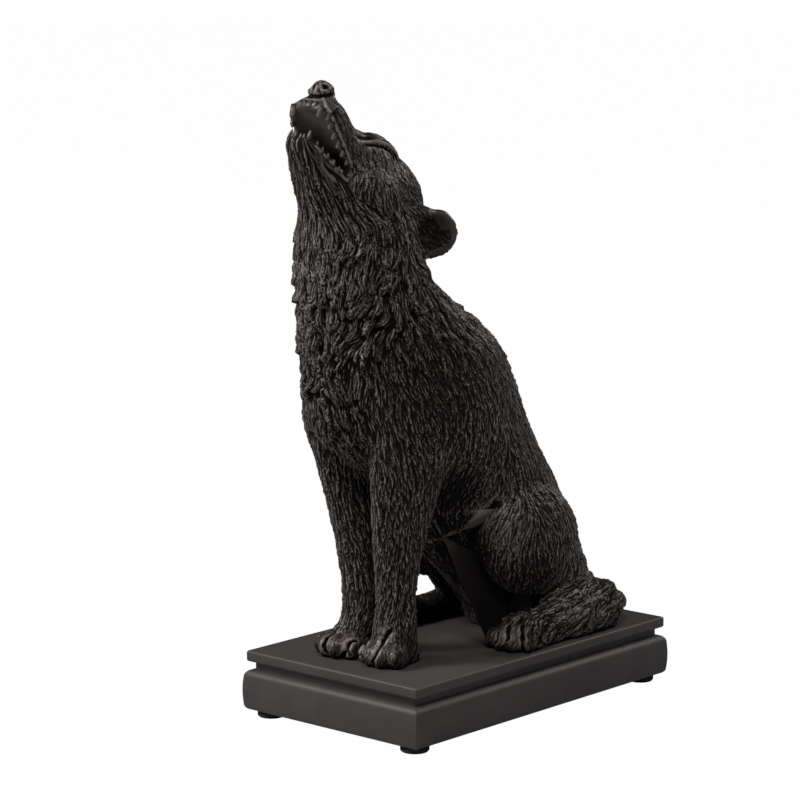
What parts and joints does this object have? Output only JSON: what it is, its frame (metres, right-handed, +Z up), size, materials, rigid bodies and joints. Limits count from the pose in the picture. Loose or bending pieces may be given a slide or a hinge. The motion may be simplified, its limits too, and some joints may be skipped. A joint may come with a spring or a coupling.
{
  "type": "wolf candle holder",
  "caption": "Howling wolf seated on a stepped rectangular plinth that stands on round foot pads; decorative figure for candle light.",
  "frame": {"origin": "on the floor, under the middle of the object's box", "axes": "+Z up, the wolf faces -Y, its left side is +X"},
  "size_m": [0.0944, 0.1797, 0.2604],
  "materials": {
    "charcoal_resin": "cold-cast resin, charcoal with a rubbed pewter sheen on the raised hair",
    "pad_rubber": "matte"
  },
  "bodies": {
    "root": {"casting": "charcoal_resin", "foot_pad_front_right": "pad_rubber", "foot_pad_front_left": "pad_rubber", "foot_pad_rear_right": "pad_rubber", "foot_pad_rear_left": "pad_rubber"}
  },
  "joints": []
}
